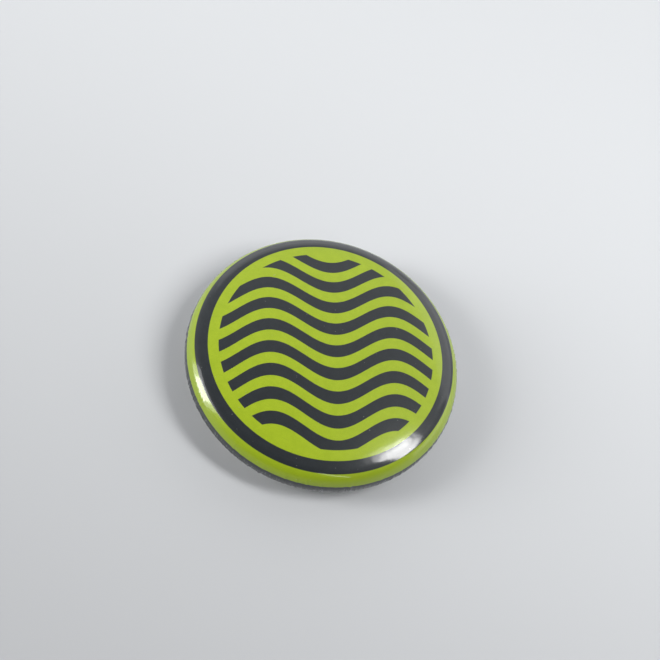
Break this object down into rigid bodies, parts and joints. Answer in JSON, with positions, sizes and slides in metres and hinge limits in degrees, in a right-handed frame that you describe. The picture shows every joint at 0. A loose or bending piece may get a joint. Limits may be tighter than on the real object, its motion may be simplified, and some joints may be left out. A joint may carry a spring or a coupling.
{
  "type": "button badge",
  "caption": "Round pin-back button badge: domed printed face under clear film, crimped tinplate shell and collet, and a sprung wire pin with a catch.",
  "frame": {"origin": "centre of the plane of the collet's rim, on which the badge lies face up", "axes": "+Z out of the printed face along the axis of revolution; the pin lies along X with its tip towards -X"},
  "size_m": [0.0254, 0.0254, 0.0052],
  "materials": {
    "tinplate": "bright tinplate",
    "print": "matte print in lime and charcoal",
    "film": "clear, glossy",
    "copper_wire": "copper-washed spring steel"
  },
  "bodies": {
    "badge": {"shell": "tinplate", "printed_paper": "print", "clear_film": "film", "collet": "tinplate", "spring_ring": "copper_wire"},
    "pin_root": {"pin_bend": "copper_wire"},
    "pin": {"pin_arm": "copper_wire"}
  },
  "joints": [
    {"name": "pin_side", "type": "hinge", "parent": "badge", "child": "pin_root", "pos_m": [0.00996, -0.00136, 0.00069], "axis": [0, 0, 1], "range_deg": [0, 3], "stiffness_Nm_per_rad": 0.002},
    {"name": "pin_swing", "type": "hinge", "parent": "pin_root", "child": "pin", "pos_m": [0.00877, 0, 0.00069], "axis": [0, -1, 0], "range_deg": [0, 45], "stiffness_Nm_per_rad": 0.002}
  ]
}
